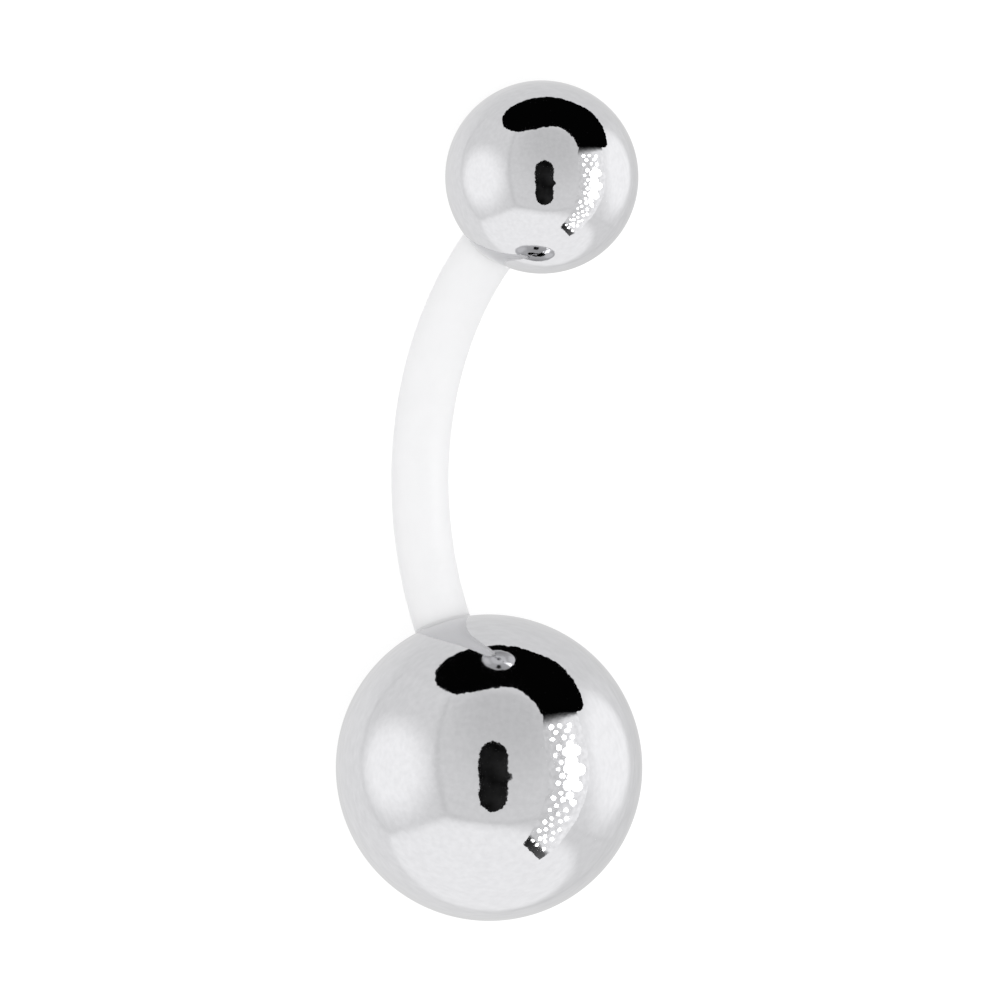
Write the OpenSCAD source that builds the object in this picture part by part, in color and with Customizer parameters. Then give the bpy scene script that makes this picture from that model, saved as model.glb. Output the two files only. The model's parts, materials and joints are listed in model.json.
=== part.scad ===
// Curved navel ring: a white flexible bar with a polished ball screwed on each end.
// Millimetres. The ring lies on the plane z = 0, resting on both balls and on the belly of its bar.
// Its length runs along Y, with the small ball towards +Y and the bar's bow towards -X and down.
// The origin is the centre of its outline, on the plane that it lies on.

/* [Bar] */
// Diameter of the bar
bar_d = 1.5; // [1.2:0.1:1.8]
// Straight distance between the two places where the bar enters the balls
bar_length = 10.2; // [8:0.1:14]
// Radius of the bar's bend, measured to its centreline
bend_radius = 9.2; // [8.8:0.1:14]

/* [Threaded posts] */
// Length of the straight post that the large ball screws onto
large_post_length = 4.5; // [3:0.1:5]
// Length of the straight post that the small ball screws onto
small_post_length = 3; // [2:0.1:3.2]
// Diameter of the thread on both posts
thread_d = 1.2; // [1:0.05:1.25]
// Distance from one thread groove to the next
thread_pitch = 0.25; // [0.25:0.05:0.4]
// Depth of the thread grooves
groove_depth = 0.1; // [0.05:0.01:0.12]
// Length of the plain neck between the bar and the thread
neck_length = 0.4; // [0.35:0.05:0.8]
// How much smaller the radius of the neck is than the radius of the bar
neck_relief = 0.01; // [0.01:0.01:0.05]
// Width of the chamfer round the tip of each post
post_tip_chamfer = 0.15; // [0.1:0.05:0.3]

/* [Balls] */
// Diameter of the large ball
large_ball_d = 8; // [7:0.5:10]
// Diameter of the small ball
small_ball_d = 5; // [4.5:0.5:6]
// Width of the chamfer round the mouth of each ball's hole
mouth_chamfer = 0.1; // [0.05:0.05:0.15]
// Clearance all round between a post and its hole
thread_clearance = 0.05; // [0.02:0.01:0.1]
// Free room between the tip of a post and the end of the hole's straight wall
hole_end_room = 0.3; // [0.2:0.1:0.5]

/* [Hidden] */
$fn = 96;

bar_r = bar_d / 2;
large_r = large_ball_d / 2;
small_r = small_ball_d / 2;
neck_r = bar_r - neck_relief;
thread_r = thread_d / 2;

// How far the solid of each post reaches back into the arc of the bar
post_overlap = 0.1;
// Thread grooves are V cuts between flanks 60 degrees apart, and a drill leaves a 118 degree cone.
flank_angle = 60;
drill_angle = 118;
// How far the cutting outline of a hole reaches past the ball's skin
past_skin = 0.5;

// The bar is one arc in the plane of its bow, with a straight post along the tangent at each end.
// In that plane u runs along the arc's chord to the small ball, and v runs towards the belly.
arc_angle = 2 * asin(bar_length / (2 * bend_radius));
arc_centre = [0, -bend_radius * cos(arc_angle / 2)];
large_centre = [-bar_length / 2, 0] - large_r * [cos(arc_angle / 2), sin(arc_angle / 2)];
small_centre = [bar_length / 2, 0] + small_r * [cos(arc_angle / 2), -sin(arc_angle / 2)];

// The line between the ball centres, its turn from the chord, and its dip when both balls lie down
axle = small_centre - large_centre;
axle_length = norm(axle);
axle_turn = atan2(axle[1], axle[0]);
axle_dip = asin((large_r - small_r) / axle_length);

// The arc's centre, along the axle and square to it towards the belly
along_axle = (arc_centre - large_centre) * axle / axle_length;
off_axle = (arc_centre - large_centre) * [-axle[1], axle[0]] / axle_length;

// The bow swings down about the axle until the belly of the bar touches the plane.
// With s as the sine of that swing, the lowest point of the arc's centreline is at the height
// drop_start - off_axle * cos(dip) * s - bend_radius * sqrt(sin(dip)^2 + (cos(dip) * s)^2),
// and setting this to bar_r gives a quadratic in s. A flatter bow hangs straight down instead.
drop_start = large_r - along_axle * sin(axle_dip);
swing_a = pow(cos(axle_dip), 2) * (pow(bend_radius, 2) - pow(off_axle, 2));
swing_b = -(drop_start - bar_r) * off_axle * cos(axle_dip);
swing_c = pow(bend_radius * sin(axle_dip), 2) - pow(drop_start - bar_r, 2);
swing_sine = (swing_b + sqrt(pow(swing_b, 2) - swing_a * swing_c)) / swing_a;
belly_swing = asin(min(1, swing_sine));

// Places of the ball centres along the ring's length
outline_length = large_r + axle_length * cos(axle_dip) + small_r;
large_y = large_r - outline_length / 2;
small_y = outline_length / 2 - small_r;

// Distance from a sphere's pole to where its skin is at radius r from the axis
function skin_depth(ball_r, r) = ball_r - sqrt(pow(ball_r, 2) - pow(r, 2));

// Outline points of the V grooves of a thread that runs from distance start to distance end
function grooves(start, end) =
    let (half = groove_depth * tan(flank_angle / 2),
         count = floor((end - start) / thread_pitch) - 1)
    [for (i = [0 : count])
        for (side = [-1, 0, 1])
            [side == 0 ? thread_r - groove_depth : thread_r,
             start + (i + 0.5) * thread_pitch + side * half]];

// Solid of a post, rising along +Z from the end of the arc at z = 0
module post(length) {
    thread_end = length - post_tip_chamfer;
    rotate_extrude()
        polygon(concat(
            [[0, -post_overlap], [neck_r, -post_overlap], [neck_r, neck_length], [thread_r, neck_length]],
            grooves(neck_length, thread_end),
            [[thread_r, thread_end], [thread_r - post_tip_chamfer, length], [0, length]]));
}

// Space cut from a ball for a post: a mouth that takes the neck, and a blind hole for the thread
module post_hole(ball_r, post_length) {
    mouth_r = neck_r + thread_clearance;
    chamfer_end = skin_depth(ball_r, mouth_r + mouth_chamfer) + mouth_chamfer;
    mouth_end = neck_length + thread_clearance;
    hole_r = thread_r + thread_clearance;
    hole_end = post_length + hole_end_room;
    rotate_extrude()
        polygon([
            [0, -past_skin],
            [mouth_r + chamfer_end + past_skin, -past_skin],
            [mouth_r, chamfer_end],
            [mouth_r, mouth_end],
            [hole_r, mouth_end],
            [hole_r, hole_end],
            [0, hole_end + hole_r / tan(drill_angle / 2)]]);
}

// Places its children with their +Z along the large ball's post
module at_large_end() {
    translate([-bar_length / 2, 0, 0])
        rotate([0, 0, 180 + arc_angle / 2])
            rotate([0, 90, 0])
                children();
}

// Places its children with their +Z along the small ball's post
module at_small_end() {
    translate([bar_length / 2, 0, 0])
        rotate([0, 0, -arc_angle / 2])
            rotate([0, 90, 0])
                children();
}

// Lays its children down, from the plane of the bow to the pose in which the ring rests
module at_rest() {
    translate([0, large_y, large_r])
        rotate([-axle_dip, 0, 0])
            rotate([0, -belly_swing, 0])
                rotate([0, 0, 90 - axle_turn])
                    translate([-large_centre[0], -large_centre[1], 0])
                        children();
}

module bar() {
    color([0.95, 0.95, 0.93])
        at_rest() {
            translate([arc_centre[0], arc_centre[1], 0])
                rotate([0, 0, 90 - arc_angle / 2])
                    rotate_extrude(angle = arc_angle)
                        translate([bend_radius, 0])
                            circle(r = bar_r);
            at_large_end()
                post(large_post_length);
            at_small_end()
                post(small_post_length);
        }
}

module large_ball() {
    color([0.75, 0.76, 0.77])
        difference() {
            translate([0, large_y, large_r])
                sphere(large_r);
            at_rest()
                at_large_end()
                    post_hole(large_r, large_post_length);
        }
}

module small_ball() {
    color([0.75, 0.76, 0.77])
        difference() {
            translate([0, small_y, small_r])
                sphere(small_r);
            at_rest()
                at_small_end()
                    post_hole(small_r, small_post_length);
        }
}

bar();
large_ball();
small_ball();
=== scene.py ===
"""Looks of a curved navel ring: a milky white flexible bar with a mirror-polished steel ball on each end.

Lengths are in metres unless a name says otherwise. The ring lies on the floor z = 0, with its length
along Y. The camera looks down on it, and a light tent stands round it, which shows only in what the
ring mirrors.
"""

import json
import math

import bpy
import mathutils
import numpy as np
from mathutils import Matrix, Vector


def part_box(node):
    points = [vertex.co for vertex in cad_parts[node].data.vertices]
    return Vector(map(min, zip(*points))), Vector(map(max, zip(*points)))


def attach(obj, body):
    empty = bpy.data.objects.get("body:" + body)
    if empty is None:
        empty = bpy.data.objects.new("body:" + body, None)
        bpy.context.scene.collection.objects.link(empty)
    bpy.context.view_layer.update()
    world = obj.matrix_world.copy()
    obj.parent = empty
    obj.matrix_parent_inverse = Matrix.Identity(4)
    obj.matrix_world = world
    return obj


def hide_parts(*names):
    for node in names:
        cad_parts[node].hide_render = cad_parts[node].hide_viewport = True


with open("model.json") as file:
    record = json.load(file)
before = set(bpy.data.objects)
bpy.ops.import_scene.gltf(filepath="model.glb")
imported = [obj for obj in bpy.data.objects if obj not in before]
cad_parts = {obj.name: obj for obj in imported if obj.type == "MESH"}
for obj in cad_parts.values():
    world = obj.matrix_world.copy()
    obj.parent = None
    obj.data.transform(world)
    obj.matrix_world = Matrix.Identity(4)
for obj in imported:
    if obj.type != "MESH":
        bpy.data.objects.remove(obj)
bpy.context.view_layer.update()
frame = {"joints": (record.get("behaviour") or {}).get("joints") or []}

MM = 0.001
TURN = 2 * math.pi


# Sizes of the ring

BAR_LENGTH = 10.2 * MM
BAR_RADIUS = 0.75 * MM
NECK_RADIUS = 0.74 * MM
NECK_LENGTH = 0.4 * MM
THREAD_RADIUS = 0.6 * MM
THREAD_PITCH = 0.25 * MM
THREAD_DEPTH = 0.1 * MM
FLANK_SLOPE = math.tan(math.radians(30))
TIP_CHAMFER = 0.15 * MM
CLEARANCE = 0.05 * MM
MOUTH_CHAMFER = 0.1 * MM
HOLE_END_ROOM = 0.3 * MM
DRILL_SLOPE = math.tan(math.radians(59))
CORNER = 0.02 * MM
POST_LENGTH = {"large": 4.5 * MM, "small": 3.0 * MM}


# Sums that several parts use

def unit(vector):
    """The vector divided by its length."""
    vector = np.asarray(vector, float)
    return vector / np.linalg.norm(vector)


def smooth_step(value):
    """0 below 0, 1 above 1, and a smooth S between."""
    value = np.clip(value, 0, 1)
    return value * value * (3 - 2 * value)


def angles_round(count):
    """Angles spread evenly round a circle, from 0 on."""
    return np.arange(count) * TURN / count


def linear_light(srgb):
    """Linear light of an sRGB value from 0 to 1: a straight foot, and then a power of 2.4."""
    return np.where(srgb <= 0.04045, srgb / 12.92, ((srgb + 0.055) / 1.055) ** 2.4)


# Layout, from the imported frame

post_axis = {j["child"].split("_")[0]: unit(j["axis"]) for j in frame["joints"]}
ball_radius = {size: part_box(size + "_ball")[1].z / 2 for size in ("large", "small")}

# The arc leaves the large ball against its post's axis and meets the small ball along its post's axis,
# so the chord between them lies midway between those two directions.
chord = BAR_LENGTH * unit(post_axis["small"] - post_axis["large"])
between_centres = (chord + ball_radius["small"] * post_axis["small"]
                   - ball_radius["large"] * post_axis["large"])
outline_length = ball_radius["large"] + between_centres[1] + ball_radius["small"]
ball_centre = {"large": np.array([0, ball_radius["large"] - outline_length / 2, ball_radius["large"]])}
ball_centre["small"] = ball_centre["large"] + between_centres
ball_entry = {size: ball_centre[size] - ball_radius[size] * post_axis[size] for size in ball_centre}
arc_angle = math.acos(np.clip(-post_axis["large"] @ post_axis["small"], -1, 1))
bend_radius = BAR_LENGTH / (2 * math.sin(arc_angle / 2))
arc_length = bend_radius * arc_angle
bow_normal = unit(np.cross(-post_axis["large"], post_axis["small"]))


# Camera, at the photo's angle to the ring

VIEW_AZIMUTH = math.radians(-158.098)
VIEW_ELEVATION = math.radians(73.507)
AXLE_LEAN = math.radians(5.094)
VIEW_DISTANCE = 306.74 * MM
# From the middle between the balls' centres to the point that the camera aims at
AIM_OFFSET = np.array([-0.347, -0.697, 0.153]) * MM
LENS_MM = 424.9
SENSOR_MM = 36.0

view_back = np.array([math.sin(VIEW_AZIMUTH) * math.cos(VIEW_ELEVATION),
                      -math.cos(VIEW_AZIMUTH) * math.cos(VIEW_ELEVATION),
                      math.sin(VIEW_ELEVATION)])
# The line between the balls leans to the right of the picture's upright by AXLE_LEAN.
axle = unit(between_centres)
axle_in_view = unit(axle - (axle @ view_back) * view_back)
view_up = (math.cos(AXLE_LEAN) * axle_in_view
           + math.sin(AXLE_LEAN) * np.cross(view_back, axle_in_view))
view_right = np.cross(view_up, view_back)
aim = (ball_centre["large"] + ball_centre["small"]) / 2 + AIM_OFFSET
eye = aim + VIEW_DISTANCE * view_back


def placed(right, up, back, place):
    """The matrix that sets a camera or a light at a place, by its own right, up and back directions."""
    turn = np.eye(4)
    turn[:3] = np.stack([right, up, back, place], -1)
    return mathutils.Matrix(turn.tolist())


def add_camera():
    """A long lens, upright along view_up and square to view_back."""
    data = bpy.data.cameras.new("camera")
    data.lens = LENS_MM
    data.sensor_width = SENSOR_MM
    data.clip_start = 10 * MM
    camera = bpy.data.objects.new("camera", data)
    bpy.context.scene.collection.objects.link(camera)
    camera.matrix_world = placed(view_right, view_up, view_back, eye)
    bpy.context.scene.camera = camera


# Colours and nodes

def colour(hex_code):
    """Linear RGBA of an sRGB hex colour."""
    srgb = np.array([int(hex_code[i:i + 2], 16) for i in (1, 3, 5)]) / 255
    return (*linear_light(srgb).tolist(), 1.0)


def add_node(tree, kind, settings=None, links=None):
    """Adds a node. settings holds its properties and socket values, and links its inputs' sources.

    A socket goes by its name, or by its number where names repeat.
    """
    node = tree.nodes.new("ShaderNode" + kind)
    for key, value in (settings or {}).items():
        if isinstance(key, str) and hasattr(node, key):
            setattr(node, key, value)
        else:
            node.inputs[key].default_value = value
    for key, source in (links or {}).items():
        tree.links.new(source, node.inputs[key])
    return node


def new_material(name):
    """An empty node material and its output node."""
    material = bpy.data.materials.new(name)
    material.use_nodes = True
    material.node_tree.nodes.clear()
    return material, add_node(material.node_tree, "OutputMaterial")


def per_size(size):
    """Scale of a noise or cell pattern whose features are this large, in metres."""
    return 1 / size


# Materials of the ring

def polished_surgical_steel():
    """Surgical stainless steel 316L, turned and then buffed to a mirror on a cloth wheel.

    The eye gets a sharp, slightly grey mirror. The buffing leaves a faint waviness and grain that
    fray the edges of what is mirrored, and there are thin wiping hazes and a few specks of dust.
    """
    material, output = new_material("polished_surgical_steel")
    tree = material.node_tree
    place = add_node(tree, "TexCoord").outputs["Object"]

    # Hazes left by wiping, about 1.5 mm wide: slightly rougher patches
    haze = add_node(tree, "TexNoise", {"Scale": per_size(1.5 * MM), "Detail": 3.0}, {"Vector": place})
    roughness = add_node(tree, "MapRange",
                         {"From Min": 0.4, "From Max": 0.75, "To Min": 0.025, "To Max": 0.06},
                         {"Value": haze.outputs["Fac"]})

    # Dust: matt grey specks 0.06 mm long, in some of the cells of a 0.8 mm pattern. Real dust is finer
    # and wouldn't show.
    laid = add_node(tree, "Mapping",
                    {"vector_type": "POINT", "Rotation": (0.0, 0.0, 0.7), "Scale": (0.45, 1.0, 1.0)},
                    {"Vector": place})
    cells = add_node(tree, "TexVoronoi", {"Scale": per_size(0.8 * MM), "Randomness": 1.0},
                     {"Vector": laid.outputs["Vector"]})
    speck = add_node(tree, "MapRange", {"From Min": 0.015, "From Max": 0.035, "To Min": 1.0, "To Max": 0.0},
                     {"Value": cells.outputs["Distance"]})
    chosen = add_node(tree, "Math", {"operation": "GREATER_THAN", 1: 0.55}, {0: cells.outputs["Color"]})
    dust = add_node(tree, "Math", {"operation": "MULTIPLY"},
                    {0: speck.outputs["Result"], 1: chosen.outputs["Value"]})
    base = add_node(tree, "Mix", {"data_type": "RGBA", 6: colour("#C4C4C6"), 7: colour("#9A9A9C")},
                    {0: dust.outputs["Value"]})
    metal = add_node(tree, "MapRange", {"To Min": 1.0, "To Max": 0.3}, {"Value": dust.outputs["Value"]})

    # Buffing waviness 0.35 mm across and up to 2 microns high, and a grain 0.08 mm across and under
    # half a micron high. Both are coarser than what a cloth wheel leaves, so that they show.
    wave = add_node(tree, "TexNoise", {"Scale": per_size(0.35 * MM), "Detail": 1.0}, {"Vector": place})
    grain = add_node(tree, "TexNoise", {"Scale": per_size(0.08 * MM), "Detail": 1.0}, {"Vector": place})
    wavy = add_node(tree, "Bump", {"Strength": 1.0, "Distance": 0.0018 * MM},
                    {"Height": wave.outputs["Fac"]})
    grainy = add_node(tree, "Bump", {"Strength": 1.0, "Distance": 0.0004 * MM},
                      {"Height": grain.outputs["Fac"], "Normal": wavy.outputs["Normal"]})

    steel = add_node(tree, "BsdfPrincipled", {}, {
        "Base Color": base.outputs[2],
        "Metallic": metal.outputs["Result"],
        "Roughness": roughness.outputs["Result"],
        "Normal": grainy.outputs["Normal"]})
    tree.links.new(steel.outputs["BSDF"], output.inputs["Surface"])
    return material


def milky_ptfe():
    """PTFE rod, pressed through a die and sintered, which leaves it milky white and waxy.

    The eye gets a soft white body that light enters a little way, a waxy sheen, and very faint lines
    along its length. The lines follow the attribute "straight", the place of each point on the rod
    before it was bent.
    """
    material, output = new_material("milky_ptfe")
    tree = material.node_tree
    place = add_node(tree, "Attribute", {"attribute_name": "straight"}).outputs["Vector"]

    # Die lines 0.12 mm apart that run for about 5 mm along the rod
    stretched = add_node(tree, "Mapping", {"vector_type": "POINT", "Scale": (1.0, 1.0, 0.025)},
                         {"Vector": place})
    lines = add_node(tree, "TexNoise", {"Scale": per_size(0.12 * MM), "Detail": 2.0},
                     {"Vector": stretched.outputs["Vector"]})
    clouds = add_node(tree, "TexNoise", {"Scale": per_size(0.8 * MM), "Detail": 2.0}, {"Vector": place})
    tint = add_node(tree, "Mix", {"data_type": "RGBA", 6: colour("#F6F6F7"), 7: colour("#F1F1F2")},
                    {0: clouds.outputs["Fac"]})
    roughness = add_node(tree, "MapRange", {"To Min": 0.40, "To Max": 0.50},
                         {"Value": lines.outputs["Fac"]})
    ridges = add_node(tree, "Bump", {"Strength": 1.0, "Distance": 0.0015 * MM},
                      {"Height": lines.outputs["Fac"]})

    ptfe = add_node(tree, "BsdfPrincipled", {
        "IOR": 1.35, "Subsurface Weight": 0.45, "Subsurface Radius": (1.0, 1.0, 1.0),
        "Subsurface Scale": 0.35 * MM}, {
        "Base Color": tint.outputs[2],
        "Roughness": roughness.outputs["Result"],
        "Normal": ridges.outputs["Normal"]})
    tree.links.new(ptfe.outputs["BSDF"], output.inputs["Surface"])
    return material


# Meshes

def add_mesh(name, vertices, faces, material):
    """A smooth-shaded object at the origin, from an array of points and arrays of faces."""
    mesh = bpy.data.meshes.new(name)
    mesh.from_pydata(vertices.tolist(), [], [face for group in faces for face in group.tolist()])
    mesh.polygons.foreach_set("use_smooth", np.ones(len(mesh.polygons), bool))
    mesh.materials.append(material)
    mesh.update()
    piece = bpy.data.objects.new(name, mesh)
    bpy.context.scene.collection.objects.link(piece)
    return piece


def ring_quads(count, around):
    """Quads between rings of points, each ring numbered on from the one before and joined to itself."""
    column = np.arange(around)
    following = (column + 1) % around
    ring = np.arange(count - 1)[:, None] * around
    return np.stack([ring + column, ring + following,
                     ring + around + following, ring + around + column], -1).reshape(-1, 4)


def closed_tube(name, rings, start, end, material):
    """Rings of points joined by quads, and closed by a fan of triangles from one point at each end.

    rings is an array of ring by column by coordinate. Its columns turn anticlockwise seen from the
    end, so the faces point outwards.
    """
    count, around = rings.shape[:2]
    column = np.arange(around)
    following = (column + 1) % around
    first, last = count * around, count * around + 1
    top = (count - 1) * around
    start_fan = np.stack([np.full(around, first), following, column], -1)
    end_fan = np.stack([np.full(around, last), top + column, top + following], -1)
    vertices = np.concatenate([rings.reshape(-1, 3), [start, end]])
    return add_mesh(name, vertices, [ring_quads(count, around), start_fan, end_fan], material)


def softened(corners, width, steps=4):
    """The corners of a profile with each inner one rounded, as an array of points.

    Each corner gives way to a quadratic curve that leaves its neighbours' sides at the given width,
    or at half a side where that is shorter.
    """
    corners = np.asarray(corners, float)
    before, corner, after = corners[:-2], corners[1:-1], corners[2:]

    def along(side):
        length = np.linalg.norm(side, axis=1, keepdims=True)
        return side / length * np.minimum(width, length / 2)

    first, last = corner + along(before - corner), corner + along(after - corner)
    share = np.linspace(0, 1, steps)[None, :, None]
    curve = ((1 - share) ** 2 * first[:, None] + 2 * share * (1 - share) * corner[:, None]
             + share ** 2 * last[:, None])
    return np.concatenate([corners[:1], curve.reshape(-1, 2), corners[-1:]])


def thread_wave(distance, angle):
    """Share of a thread's depth, from 0 on its crest to 1 in its groove, at a distance and an angle.

    The groove climbs one pitch in a turn. It is as wide as a V groove whose flanks are 60 degrees
    apart, and rounded at its edges and at its bottom.
    """
    phase = (distance / THREAD_PITCH - angle / TURN) % 1
    half_width = THREAD_DEPTH * FLANK_SLOPE / THREAD_PITCH
    return smooth_step(1 - np.abs(phase - 0.5) / half_width)


def threaded_profile(start, end, radius, rows_a_pitch):
    """Rows of (distance, radius, thread depth) along a thread whose groove fades in and out at its ends."""
    distance = np.linspace(start, end, int(abs(end - start) / THREAD_PITCH * rows_a_pitch))
    from_ends = np.minimum(np.abs(distance - start), np.abs(end - distance)) / (0.5 * THREAD_PITCH)
    depth = THREAD_DEPTH * np.clip(from_ends, 0, 1)
    return np.stack([distance, np.full_like(distance, radius), depth], -1)


def plain_profile(points):
    """Rows of (distance, radius, no thread depth)."""
    points = np.asarray(points, float)
    return np.concatenate([points, np.zeros((len(points), 1))], 1)


# The bar

BAR_COLUMNS = 96
ARC_ROWS = 260
POST_ROWS_A_PITCH = 12


def post_profile(length):
    """Profile of a post from its tip to the bar, by distances from the bar's end towards the tip."""
    thread_end = length - TIP_CHAMFER
    tip = softened([(length, 0), (length, THREAD_RADIUS - TIP_CHAMFER), (thread_end, THREAD_RADIUS),
                    (thread_end - CORNER, THREAD_RADIUS)], CORNER)[1:]
    neck = softened([(NECK_LENGTH + CORNER, THREAD_RADIUS), (NECK_LENGTH, THREAD_RADIUS),
                     (NECK_LENGTH, NECK_RADIUS), (NECK_LENGTH - 2 * CORNER, NECK_RADIUS),
                     (CORNER, NECK_RADIUS), (0, BAR_RADIUS), (-CORNER, BAR_RADIUS)], CORNER / 2)
    thread = threaded_profile(thread_end - CORNER, NECK_LENGTH + CORNER, THREAD_RADIUS, POST_ROWS_A_PITCH)
    return np.concatenate([plain_profile(tip), thread[1:-1], plain_profile(neck)])


def add_bar(material):
    """The bar and its posts: a round profile carried along a straight, an arc and a straight.

    A point lies at the path's place plus its radius times the cosine of its angle along the bow's
    normal, and times the sine towards the outer side of the bow. The thread lowers the radius.
    """
    large_post = post_profile(POST_LENGTH["large"]) * (-1, 1, 1)
    small_post = post_profile(POST_LENGTH["small"])[::-1] + (arc_length, 0, 0)
    arc_rows = np.linspace(2 * CORNER, arc_length - 2 * CORNER, ARC_ROWS)
    arc = plain_profile(np.stack([arc_rows, np.full_like(arc_rows, BAR_RADIUS)], -1))
    profile = np.concatenate([large_post, arc, small_post])
    distance, radius, depth = profile.T[:, :, None]
    angle = angles_round(BAR_COLUMNS)

    # Path: the arc's turn stops at its ends, and what is left of the distance runs on straight.
    turned = np.clip(distance, 0, arc_length) / bend_radius
    beyond = distance - turned * bend_radius
    first_inward = np.cross(bow_normal, -post_axis["large"])
    tangent = -np.cos(turned) * post_axis["large"] + np.sin(turned) * first_inward
    inward = np.cross(bow_normal, tangent)
    arc_centre = ball_entry["large"] + bend_radius * first_inward
    path = arc_centre - bend_radius * inward + beyond * tangent

    size = radius - depth * thread_wave(distance, angle)
    along_normal, outward = size * np.cos(angle), size * np.sin(angle)
    rings = (path[:, None] + along_normal[..., None] * bow_normal
             + outward[..., None] * np.cross(tangent, bow_normal)[:, None])
    tips = [ball_entry[end] + POST_LENGTH[end] * post_axis[end] for end in ("large", "small")]
    bar = closed_tube("white_bar", rings, tips[0], tips[1], material)

    straight = np.stack([along_normal, outward, np.broadcast_to(distance, size.shape)], -1)
    straight_tips = [[0, 0, distance[0, 0]], [0, 0, distance[-1, 0]]]
    places = np.concatenate([straight.reshape(-1, 3), straight_tips])
    lay = bar.data.attributes.new("straight", "FLOAT_VECTOR", "POINT")
    lay.data.foreach_set("vector", places.astype(np.float32).ravel())
    return bar


# The balls

BALL_COLUMNS = 192
SKIN_ROWS = 159
HOLE_ROWS_A_PITCH = 9


def add_ball(size, material):
    """A ball with its tapped blind hole: a profile turned about the post's axis.

    Distances run from the ball's pole towards its centre. The profile climbs from the drill's cone up
    the threaded wall to the mouth, and then runs round the skin to the far pole.
    """
    radius, axis, entry = ball_radius[size], post_axis[size], ball_entry[size]
    mouth_radius, hole_radius = NECK_RADIUS + CLEARANCE, THREAD_RADIUS + CLEARANCE
    rim_radius = mouth_radius + MOUTH_CHAMFER
    rim = radius - math.sqrt(radius ** 2 - rim_radius ** 2)
    hole_end = POST_LENGTH[size] + HOLE_END_ROOM
    mouth_end = NECK_LENGTH + CLEARANCE
    cone_tip = hole_end + hole_radius / DRILL_SLOPE

    bottom = softened([(cone_tip, 0), (hole_end, hole_radius),
                       (hole_end - 2 * CORNER, hole_radius)], CORNER)[1:]
    thread = threaded_profile(hole_end - 2 * CORNER, mouth_end + CORNER, hole_radius, HOLE_ROWS_A_PITCH)
    mouth = softened([(mouth_end + CORNER, hole_radius), (mouth_end, hole_radius),
                      (mouth_end, mouth_radius), (rim + MOUTH_CHAMFER, mouth_radius),
                      (rim, rim_radius)], CORNER / 2)
    polar = np.linspace(math.asin(rim_radius / radius), math.pi, SKIN_ROWS + 2)[1:-1]
    skin = np.stack([radius - radius * np.cos(polar), radius * np.sin(polar)], -1)
    profile = np.concatenate([plain_profile(bottom), thread[1:-1],
                              plain_profile(mouth), plain_profile(skin)])

    distance, ring_radius, depth = profile.T[:, :, None]
    angle = angles_round(BALL_COLUMNS)
    side = unit(np.cross(axis, (0, 0, 1)))
    other = np.cross(axis, side)
    turned = ring_radius + depth * thread_wave(distance, angle)
    rings = (entry + distance[..., None] * axis + (turned * np.cos(angle))[..., None] * side
             + (turned * np.sin(angle))[..., None] * other)
    return closed_tube(size + "_steel_ball", rings, entry + cone_tip * axis,
                       entry + 2 * radius * axis, material)


# Light tent, placed by where its parts show in the large ball

# The tent faces a little to the left of the camera, by this share of the way to it.
TENT_TO_THE_LEFT = 0.014

# The tent's frame: right and up in the picture, and towards the camera
facing = unit(unit(eye - ball_centre["large"]) - TENT_TO_THE_LEFT * view_right)
facing_right = unit(view_right - (view_right @ facing) * facing)
facing_frame = np.array([facing_right, np.cross(facing, facing_right), facing])


def mirror_ray(across, up):
    """Normal of the large ball at a place on its disc, and where a sight line goes on from there.

    Both are in the tent's frame, and across and up are the place in radii from the disc's middle. A
    sight line that comes in against z leaves towards 2 (n.z) n - z, where n is the normal.
    """
    towards = np.sqrt(np.clip(1 - across ** 2 - up ** 2, 0, 1))
    normal = np.stack([across, up, towards], -1)
    return normal, 2 * towards[..., None] * normal - (0, 0, 1)


def mirrored(across, up, distance):
    """The point at a distance from the large ball that shows at a place on its disc."""
    normal, ray = mirror_ray(across, up)
    return ball_centre["large"] + (ball_radius["large"] * normal + distance * ray) @ facing_frame


# Share of the light that the steel mirrors head-on, which is its base colour
STEEL_REFLECTANCE = 0.56


def glow_for(tone, across, up):
    """Radiance that the ball mirrors as this sRGB tone, from 0 to 255, at a place on its disc.

    Steel mirrors more at a slant: it gains the share that it lacks head-on, times the fifth power of
    one less the cosine of the slant.
    """
    towards = mirror_ray(across, up)[0][..., 2]
    reflectance = STEEL_REFLECTANCE + (1 - STEEL_REFLECTANCE) * (1 - towards) ** 5
    return linear_light(np.asarray(tone, float) / 255) / reflectance


# Walls of the tent, which is a box of cloth in the tent's frame. A wall's vector points outwards and is
# one over the wall's distance long, and the front wall's distance is 1. The ball mirrors its cloth in one
# tone, and on it a soft oval patch that a lamp lights or that lies in shade. The patch has a middle,
# half sizes, a blur as a share of them, and a tone. A seam is darker than the cloth by the geometric
# mean of its two walls' depths.
TENT_WALLS = {
    # outward vector, seam depth, cloth tone, patch: middle, half sizes, blur, tone
    "front": ((0, 0, 1), 11, 203, (0.35, 1.0, 0), (0.9, 1.0, math.inf), 1.3, 187),
    "left": ((-0.88, -0.07, 0.30), 7, 206, (0, 0, 0.20), (math.inf, 0.56, 0.64), 1.0, 237),
    "right": ((0.62, -0.02, 0.12), 3, 209, (0, 0.25, -0.75), (math.inf, 1.05, 1.05), 0.8, 240),
    "bottom": ((-0.15, -1.10, 0.02), 6, 206, (-0.1, 0, -0.10), (1.15, math.inf, 1.05), 0.4, 232),
    "top": ((0, 0.57, 0), 0, 204, (0, 0, 0), (1, math.inf, 1), 1.0, 204),
    "back": ((-0.49, -0.25, -0.72), 4, 205, (-1.2, -0.3, 0), (1.5, 1.2, math.inf), 1.2, 216),
}
SEAM_WIDTH = 0.07
SEAM_BLEND = 22
TENT_RADIUS = 600 * MM
TENT_RINGS = 260
TENT_COLUMNS = 360


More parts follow.
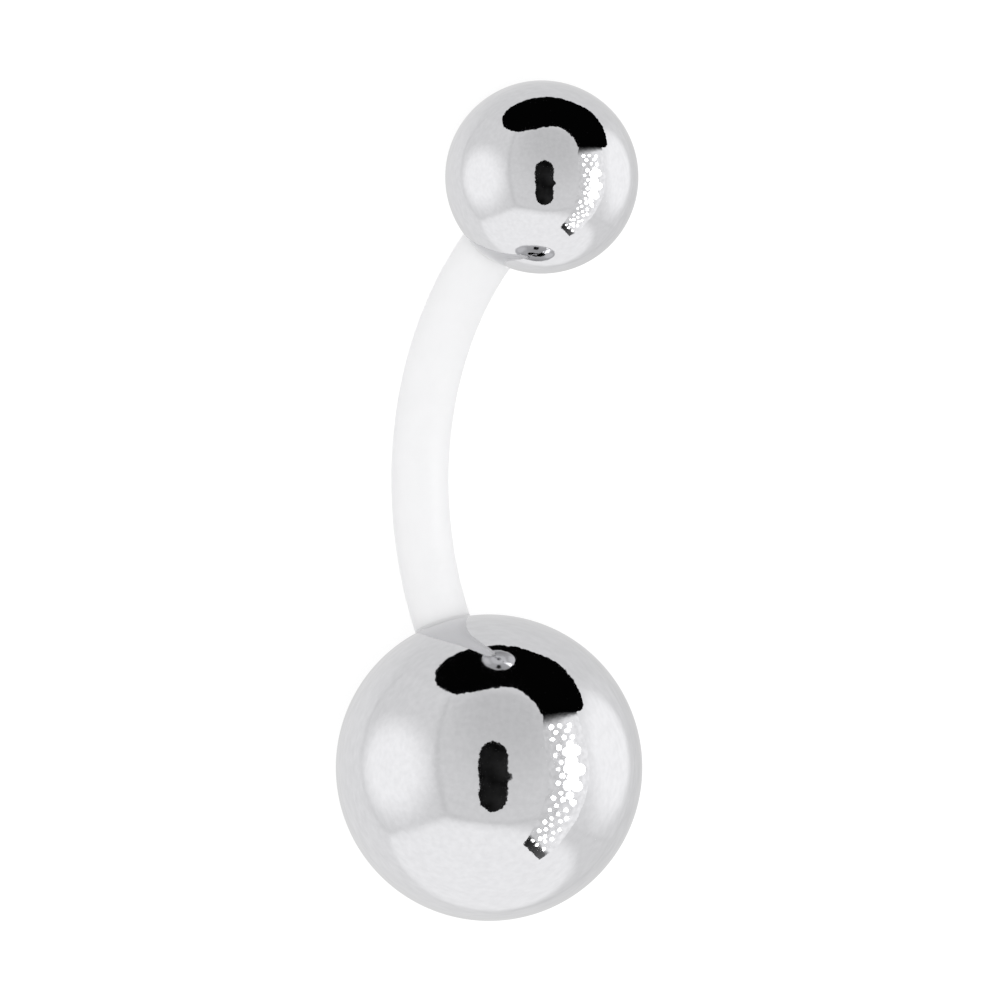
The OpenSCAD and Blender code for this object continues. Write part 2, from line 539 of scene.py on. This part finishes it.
def tent_tone(ray):
    """Tone of the tent in each direction, in the tent's frame.

    A ray meets the wall that it would reach first, which has the largest product of its vector and the
    ray. The tones blend softly at the seams.
    """
    outward, depth, cloth, middle, half_size, blur, patch = map(np.array, zip(*TENT_WALLS.values()))
    reach = ray @ outward.T
    nearest = reach.max(-1, keepdims=True)
    met = (ray / nearest)[..., None, :]
    off = np.sqrt((((met - middle) / half_size) ** 2).sum(-1))
    tone = cloth + (patch - cloth) * smooth_step((1 - off) / blur + 0.5)
    weight = np.exp(SEAM_BLEND * (reach / nearest - 1))
    order = np.argsort(reach, -1)
    runner_up = np.sort(reach, -1)[..., -2] / nearest[..., 0]
    seam_depth = np.sqrt(depth[order[..., -1]] * depth[order[..., -2]])
    seam = seam_depth * np.exp(-((1 - runner_up) / SEAM_WIDTH) ** 2)
    return (weight * tone).sum(-1) / weight.sum(-1) - seam


def glowing_cloth(name, unevenness=0.0, blotch=40 * MM):
    """Woven cloth that lamps light from behind, so that it glows: a soft and slightly mottled grey.

    Its light follows the attribute "glow", times what the cloth's uneven thickness lets through.
    """
    material, output = new_material(name)
    tree = material.node_tree
    place = add_node(tree, "TexCoord").outputs["Object"]
    glow = add_node(tree, "Attribute", {"attribute_name": "glow"})
    thickness = add_node(tree, "TexNoise", {"Scale": per_size(blotch), "Detail": 3.0}, {"Vector": place})
    mottle = add_node(tree, "MapRange", {"From Min": 0.3, "From Max": 0.7, "To Min": 1 - unevenness,
                                         "To Max": 1 + unevenness}, {"Value": thickness.outputs["Fac"]})
    strength = add_node(tree, "Math", {"operation": "MULTIPLY"},
                        {0: glow.outputs["Fac"], 1: mottle.outputs["Result"]})
    lamp = add_node(tree, "Emission", {}, {"Strength": strength.outputs["Value"]})
    tree.links.new(lamp.outputs["Emission"], output.inputs["Surface"])
    # Only mirrors see it, so it isn't sampled as a light.
    material.cycles.emission_sampling = "NONE"
    return material


def set_glow(piece, glow):
    """Stores the radiance of each vertex in the attribute "glow"."""
    attribute = piece.data.attributes.new("glow", "FLOAT", "POINT")
    attribute.data.foreach_set("value", np.asarray(glow, np.float32).ravel())


def only_mirrored(piece):
    """Keeps a piece of the studio out of the picture and out of all but mirrors."""
    piece.visible_camera = False
    piece.visible_shadow = False
    piece.visible_transmission = False
    piece.visible_diffuse = False


def add_tent():
    """A closed sphere round the scene that glows as the tent does.

    Its rings show as circles on the ball's disc, with equal areas between them, and run from the
    disc's rim to its middle.
    """
    from_middle = np.sqrt(np.linspace(1, 0, TENT_RINGS + 2)[1:-1])[:, None]
    angle = angles_round(TENT_COLUMNS)
    across, up = from_middle * np.cos(angle), from_middle * np.sin(angle)
    rings = mirrored(across, up, TENT_RADIUS)
    poles = [mirrored(np.array(place), np.array(0.0), TENT_RADIUS) for place in (1.0, 0.0)]
    tent = closed_tube("tent", rings, poles[0], poles[1], glowing_cloth("tent_cloth", unevenness=0.04))
    across = np.concatenate([across.ravel(), [1, 0]])
    up = np.concatenate([up.ravel(), [0, 0]])
    set_glow(tent, glow_for(tent_tone(mirror_ray(across, up)[1]), across, up))
    only_mirrored(tent)


# Openings and cards of the tent. Their edges are in radii from the middle of the large ball's disc.

CARD_DISTANCE = 110 * MM
CARD_COLUMNS = 25
LAMP_DISTANCE = 0.97 * CARD_DISTANCE
SLOT_DISTANCE = 290 * MM
BAND_ROWS = 110
BAND_FRAY = 0.0025
# Tone of the painted shade that the black band's sheet shows for the opening
BAND_TONE = 3
SLOT_ROWS = 91
SLOT_FRAY = 0.003


def curve_through(points, count):
    """A smooth curve through points, as cubic pieces.

    The slope at a point is that between its neighbours.
    """
    points = np.asarray(points, float)
    slope = np.gradient(points, axis=0)
    place = np.linspace(0, len(points) - 1, count)
    piece = np.minimum(place.astype(int), len(points) - 2)
    share = (place - piece)[:, None]
    return ((2 * share ** 3 - 3 * share ** 2 + 1) * points[piece]
            + (share ** 3 - 2 * share ** 2 + share) * slope[piece]
            + (3 * share ** 2 - 2 * share ** 3) * points[piece + 1]
            + (share ** 3 - share ** 2) * slope[piece + 1])


def frayed(edge, amount, seed):
    """An edge of cloth whose points lie off by random amounts, as cut threads leave it."""
    return edge + np.random.default_rng(seed).normal(0, amount, edge.shape)


def add_card(name, one_edge, other_edge, distance, tone, material):
    """A sheet between two edges on the ball's disc, straight across from one to the other.

    tone gives its tone from the share along the edges and the share across.
    """
    across = np.linspace(0, 1, CARD_COLUMNS)[None, :]
    along = np.linspace(0, 1, len(one_edge))[:, None]
    places = one_edge[:, None] * (1 - across[..., None]) + other_edge[:, None] * across[..., None]
    rows, columns = places.shape[:2]
    start = np.arange(rows - 1)[:, None] * columns + np.arange(columns - 1)
    quads = np.stack([start, start + 1, start + columns + 1, start + columns], -1).reshape(-1, 4)
    points = mirrored(places[..., 0], places[..., 1], distance).reshape(-1, 3)
    card = add_mesh(name, points, [quads], material)
    set_glow(card, glow_for(tone(along, across), places[..., 0], places[..., 1]))
    only_mirrored(card)


def add_black_band():
    """The dark opening over the ring, a long bent gap in the tent from the left to the upper right: a dark
    sheet of painted shade in front of the tent.
    """
    outer = curve_through([(-0.346, 0.585), (-0.343, 0.622), (-0.317, 0.666), (-0.251, 0.723),
                           (-0.121, 0.772), (0.042, 0.797), (0.173, 0.785), (0.287, 0.752),
                           (0.401, 0.710), (0.483, 0.650), (0.557, 0.560), (0.597, 0.478),
                           (0.617, 0.402), (0.600, 0.372)], BAND_ROWS)
    inner = curve_through([(-0.346, 0.585), (-0.344, 0.556), (-0.324, 0.524), (-0.268, 0.491),
                           (-0.194, 0.478), (-0.088, 0.491), (0.010, 0.511), (0.091, 0.521),
                           (0.173, 0.514), (0.238, 0.478), (0.300, 0.425), (0.330, 0.378),
                           (0.342, 0.352), (0.358, 0.342)], BAND_ROWS)
    add_card("black_band", frayed(outer, BAND_FRAY, 1), frayed(inner, BAND_FRAY, 2), CARD_DISTANCE,
             lambda along, across: BAND_TONE, glowing_cloth("gap_shade"))


def slot_tone(along, across):
    """Deep shade in the slot, a little lighter to the right."""
    return 18 + 10 * across


def add_lens_slot():
    """The slot in the front wall that the camera looks through.

    Its sides are upright, its ends are half circles, and a small tab sticks out on the right.
    """
    middle, half_width, half_height = (0.033, -0.061), 0.094, 0.228
    tab_reach, tab_size = 0.032, 0.022
    height = half_height * np.sin(np.linspace(-0.5, 0.5, SLOT_ROWS) * math.pi)
    into_end = np.maximum(np.abs(height) - (half_height - half_width), 0) / half_width
    width = half_width * np.sqrt(np.clip(1 - into_end ** 2, 0, 1))
    tab = tab_reach * np.exp(-(height / tab_size) ** 2)
    left = np.stack([middle[0] - width, middle[1] + height], -1)
    right = np.stack([middle[0] + width + tab, middle[1] + height], -1)
    add_card("lens_slot", frayed(left, SLOT_FRAY, 3), frayed(right, SLOT_FRAY, 4), SLOT_DISTANCE,
             slot_tone, glowing_cloth("slot_shade", unevenness=0.7, blotch=60 * MM))


def panel_tone(along, across):
    """Grey of the lamp panel: lighter to the right, and dark at the top and at its bottom end cap."""
    sheet = 199 + 34 * across - 12 * np.exp(-((across - 0.35) / 0.2) ** 2)
    top = smooth_step((along - 0.03) / (0.12 - 0.06 * across))
    cap = smooth_step((0.952 - along) / 0.035)
    return sheet * top * cap + (1 - cap) * (32 + 60 * across)


DISC_CORNERS = 14


def add_discs(name, middles, sizes, distance, tone):
    """Round sheets at places on the ball's disc, with their sizes in radii of the disc."""
    angle = angles_round(DISC_CORNERS)
    edge = middles[:, None] + sizes[:, None, None] * np.stack([np.cos(angle), np.sin(angle)], -1)
    edge = edge.reshape(-1, 2)
    faces = np.arange(len(edge)).reshape(-1, len(angle))
    points = mirrored(edge[:, 0], edge[:, 1], distance)
    discs = add_mesh(name, points, [faces], glowing_cloth(name + "_glow"))
    set_glow(discs, glow_for(tone, edge[:, 0], edge[:, 1]))
    only_mirrored(discs)


SPINE_ROWS = 100
# Rows of the spine where the lamps start and how far they go on, and the middle and reach of the glare
LAMPS_START, LAMPS_REACH = 15, 78
GLARE_MIDDLE, GLARE_REACH = 45, 11
LAMP_ROWS = 19
# The lamps are so much brighter than the cloth that they stay white where one ball mirrors the other.
LAMP_TONE = 500


def add_lamp_panel():
    """A bent panel on the right with staggered small round lamps, whose glare merges in the middle."""
    spine = curve_through([(0.462, 0.400), (0.472, 0.290), (0.492, 0.190), (0.516, 0.070), (0.524, -0.070),
                           (0.492, -0.220), (0.434, -0.345), (0.366, -0.457), (0.276, -0.549)], SPINE_ROWS)
    half_width = curve_through([[0.105], [0.118], [0.128], [0.132], [0.132], [0.124], [0.112], [0.095],
                                [0.072]], SPINE_ROWS)
    heading = np.gradient(spine, axis=0)
    heading /= np.linalg.norm(heading, axis=1, keepdims=True)
    sideways = np.stack([-heading[:, 1], heading[:, 0]], -1)
    add_card("lamp_panel", spine - half_width * sideways, spine + half_width * sideways, CARD_DISTANCE,
             panel_tone, glowing_cloth("panel_sheet", unevenness=0.12, blotch=7 * MM))

    # Rows of three and of two lamps take turns and draw closer towards the bottom. Glare swells some.
    row, column = np.meshgrid(np.arange(LAMP_ROWS), np.arange(3), indexing="ij")
    share = row / (LAMP_ROWS - 1)
    jitter = np.random.default_rng(11).uniform(-1, 1, (3, *row.shape))
    index = LAMPS_START + LAMPS_REACH * (1.2 * share - 0.2 * share ** 2) + 0.6 * jitter[0]
    index = np.clip(index, 0, SPINE_ROWS - 1).astype(int)
    place = 0.5 * (column - 1) + 0.25 * (row % 2) - 0.03 + 0.06 * jitter[1]
    middle = spine[index] + place[..., None] * half_width[index] * sideways[index]
    glare = smooth_step(1.8 - np.abs(index - GLARE_MIDDLE) / GLARE_REACH) * smooth_step((place + 0.2) / 0.3)
    size = (0.0160 - 0.005 * share) * (1 + 0.2 * jitter[2]) + 0.022 * glare
    lit = (row % 2 == 0) | (column < 2)
    add_discs("lamps", middle[lit], size[lit], LAMP_DISTANCE, LAMP_TONE)


# Floor, room and softbox

FLOOR_RADIUS = 550 * MM
FLOOR_HEART = 2 * MM
FLOOR_RINGS = 40
FLOOR_COLUMNS = 128
FLOOR_GLOW = 0.82
ROOM_STRENGTH = 0.675
SOFTBOX_SIZE = 250 * MM
SOFTBOX_DISTANCE = 450 * MM
SOFTBOX_TO_THE_RIGHT = 0.15
SOFTBOX_DOWN = 0.1
SOFTBOX_WATTS = 0.78


def white_table():
    """Backlit white acrylic: it glows evenly and scatters a little light, and the eye gets pure white."""
    material, output = new_material("white_table")
    tree = material.node_tree
    place = add_node(tree, "TexCoord").outputs["Object"]
    speckle = add_node(tree, "TexNoise", {"Scale": per_size(2 * MM)}, {"Vector": place})
    shade = add_node(tree, "Mix", {"data_type": "RGBA", 6: colour("#8C8C8C"), 7: colour("#909090")},
                     {0: speckle.outputs["Fac"]})
    acrylic = add_node(tree, "BsdfPrincipled", {
        "Roughness": 0.8, "Specular IOR Level": 0.0, "Emission Color": (1.0, 1.0, 1.0, 1.0),
        "Emission Strength": FLOOR_GLOW}, {"Base Color": shade.outputs[2]})
    tree.links.new(acrylic.outputs["BSDF"], output.inputs["Surface"])
    # It is so large that most rays find it anyway, so it isn't sampled as a light.
    material.cycles.emission_sampling = "NONE"
    return material


def add_floor():
    """A flat pale disc of rings that draw closer towards its middle, which one face closes.

    The balls mirror the tent there and not the floor.
    """
    reach = np.geomspace(FLOOR_HEART, FLOOR_RADIUS, FLOOR_RINGS)[::-1, None]
    angle = angles_round(FLOOR_COLUMNS)
    across, along = reach * np.cos(angle), reach * np.sin(angle)
    vertices = np.stack([across, along, np.zeros_like(across)], -1).reshape(-1, 3)
    innermost = (FLOOR_RINGS - 1) * FLOOR_COLUMNS + np.arange(FLOOR_COLUMNS)[None]
    floor = add_mesh("floor", vertices, [ring_quads(FLOOR_RINGS, FLOOR_COLUMNS), innermost], white_table())
    floor.visible_glossy = False


def add_room():
    """Plain pale surroundings beyond the floor's edge."""
    room = bpy.data.worlds.new("pale_room")
    room.use_nodes = True
    background = room.node_tree.nodes["Background"]
    background.inputs["Color"].default_value = (1.0, 1.0, 1.0, 1.0)
    background.inputs["Strength"].default_value = ROOM_STRENGTH
    bpy.context.scene.world = room


def add_softbox():
    """A wide soft light by the camera, a little down and to the right, which the balls don't mirror."""
    data = bpy.data.lights.new("softbox", "AREA")
    data.shape = "DISK"
    data.size = SOFTBOX_SIZE
    data.energy = SOFTBOX_WATTS
    softbox = bpy.data.objects.new("softbox", data)
    bpy.context.scene.collection.objects.link(softbox)
    towards = unit(view_back + SOFTBOX_TO_THE_RIGHT * view_right - SOFTBOX_DOWN * view_up)
    side = unit(np.cross(view_up, towards))
    softbox.matrix_world = placed(side, np.cross(towards, side), towards, aim + SOFTBOX_DISTANCE * towards)
    softbox.visible_glossy = False
    softbox.visible_camera = False


# The scene

add_camera()
steel = polished_surgical_steel()
bar = add_bar(milky_ptfe())
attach(bar, "bar")
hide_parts("bar")
for size in ("large", "small"):
    ball = add_ball(size, steel)
    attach(ball, size + "_ball")
    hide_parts(size + "_ball")

add_tent()
add_black_band()
add_lens_slot()
add_lamp_panel()
add_floor()
add_room()
add_softbox()
bpy.context.scene.view_settings.view_transform = "Standard"
